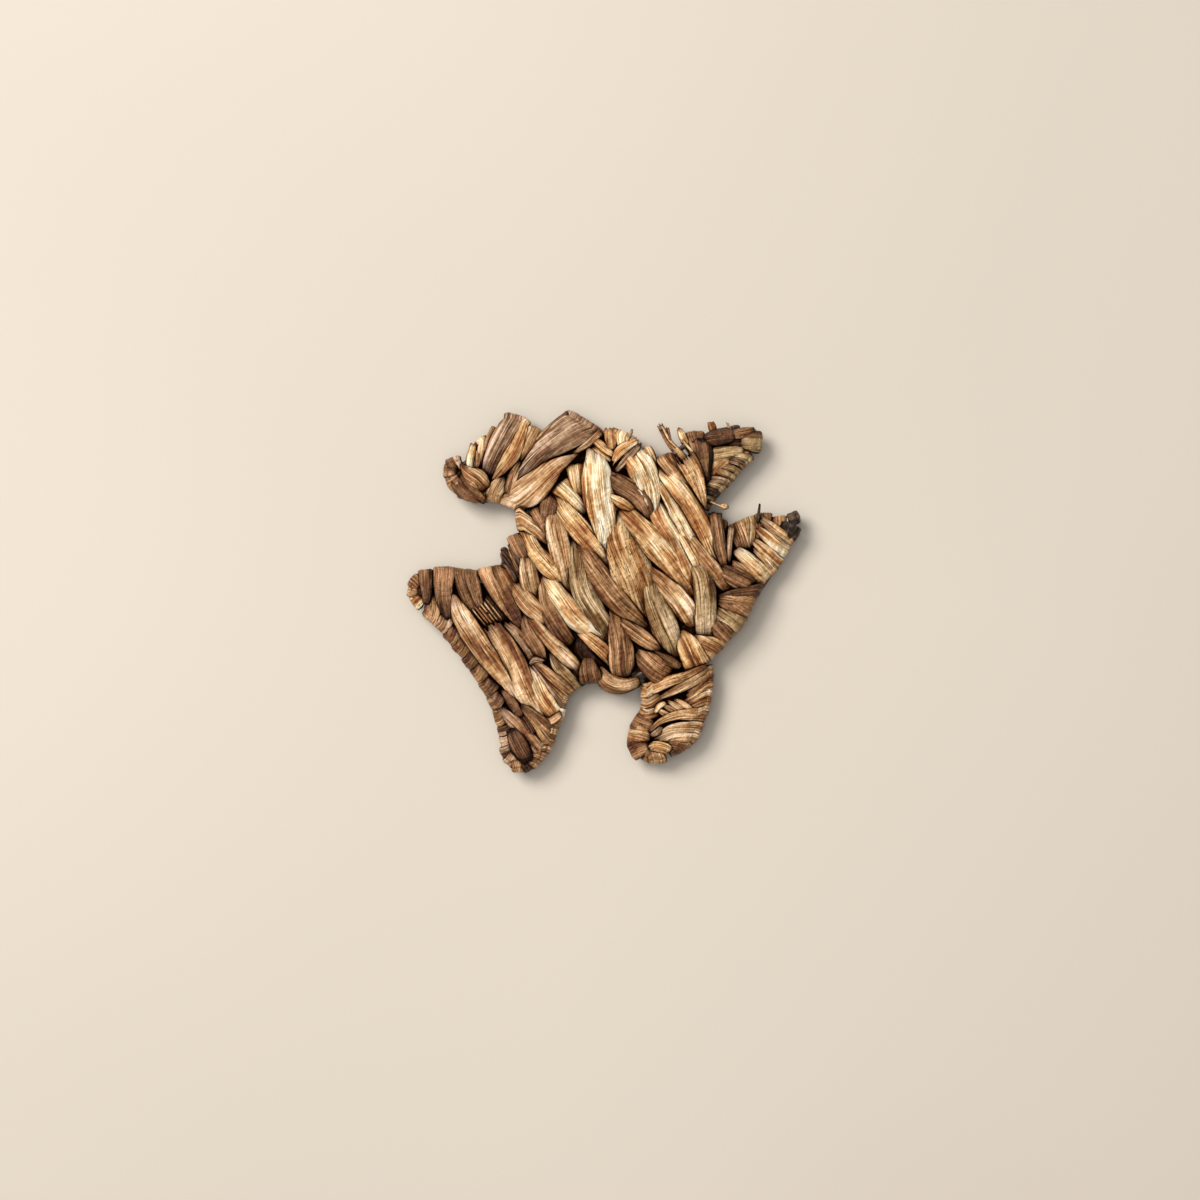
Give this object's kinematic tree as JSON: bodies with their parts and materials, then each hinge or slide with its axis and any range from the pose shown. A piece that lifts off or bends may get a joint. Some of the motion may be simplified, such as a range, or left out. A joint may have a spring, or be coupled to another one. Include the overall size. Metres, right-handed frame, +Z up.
{
  "type": "woven fish ornament",
  "caption": "Flat fish ornament of dried leaf strips, with a plaited body and folded strips laced over a bent wire outline for its fins, tail and open jaws.",
  "frame": {"origin": "middle of the box round the fish, on the surface that its back lies on", "axes": "+X from the tail to the head, +Y from the belly to the back fin, +Z up through the front face"},
  "size_m": [0.1304, 0.122, 0.0136],
  "materials": {
    "leaf_tan": "dry leaf with fine lengthwise fibres",
    "leaf_cream": "pale dry leaf with a slight sheen",
    "leaf_brown": "grey-brown dry leaf, matt",
    "leaf_olive": "olive-brown dry leaf, matt",
    "leaf_dark": "dark brown dry leaf, matt",
    "wire": "plain drawn wire"
  },
  "bodies": {
    "root": {"frame_wire": "wire", "back_fin_wire": "wire", "belly_fin_wire": "wire", "row1_strand1": "leaf_tan", "row1_strand2": "leaf_tan", "row1_strand3": "leaf_brown", "row2_strand1": "leaf_tan", "row2_strand2": "leaf_brown", "row2_strand3": "leaf_tan", "row3_strand1": "leaf_cream", "row3_strand2": "leaf_tan", "row3_strand3": "leaf_tan", "row4_strand1": "leaf_cream", "row4_strand2": "leaf_cream", "row4_strand3": "leaf_tan", "row5_strand1": "leaf_tan", "row5_strand2": "leaf_tan", "row5_strand3": "leaf_brown", "tail_top_leaf": "leaf_brown", "tail_top_lacing": "leaf_brown", "tail_tip_band": "leaf_brown", "tail_edge_winding": "leaf_brown", "tail_long_leaf": "leaf_tan", "tail_torn_leaf": "leaf_tan", "tail_olive_leaf": "leaf_olive", "tail_pleated_leaf": "leaf_brown", "tail_small_leaf": "leaf_tan", "tail_inner_leaf": "leaf_olive", "tail_low_leaf": "leaf_tan", "tail_low_dark": "leaf_dark", "tail_low_fan": "leaf_brown", "tail_low_knob": "leaf_dark", "tail_low_band": "leaf_brown", "back_fin_root_leaf": "leaf_tan", "back_fin_wide_leaf": "leaf_brown", "back_fin_light_leaf": "leaf_tan", "back_fin_lens_leaf": "leaf_tan", "back_fin_grey_leaf": "leaf_brown", "back_fin_edge_lacing": "leaf_tan", "back_fin_knot_lens": "leaf_tan", "back_fin_knot_band": "leaf_brown", "back_fin_tip_band": "leaf_brown", "head_tuft": "leaf_brown", "belly_fin_root_band": "leaf_tan", "belly_fin_front_lacing": "leaf_tan", "belly_fin_rear_lacing": "leaf_cream", "belly_fin_long_band": "leaf_olive", "belly_fin_fan": "leaf_cream", "belly_fin_tip_band": "leaf_cream", "upper_jaw_lacing": "leaf_olive", "upper_jaw_dark_leaf": "leaf_dark", "upper_jaw_roll": "leaf_dark", "upper_jaw_frayed_leaf": "leaf_tan", "upper_jaw_tip_band": "leaf_brown", "lower_jaw_back_lacing": "leaf_olive", "lower_jaw_front_lacing": "leaf_tan", "lower_jaw_fan": "leaf_tan", "lower_jaw_tip_band": "leaf_dark"}
  },
  "joints": []
}
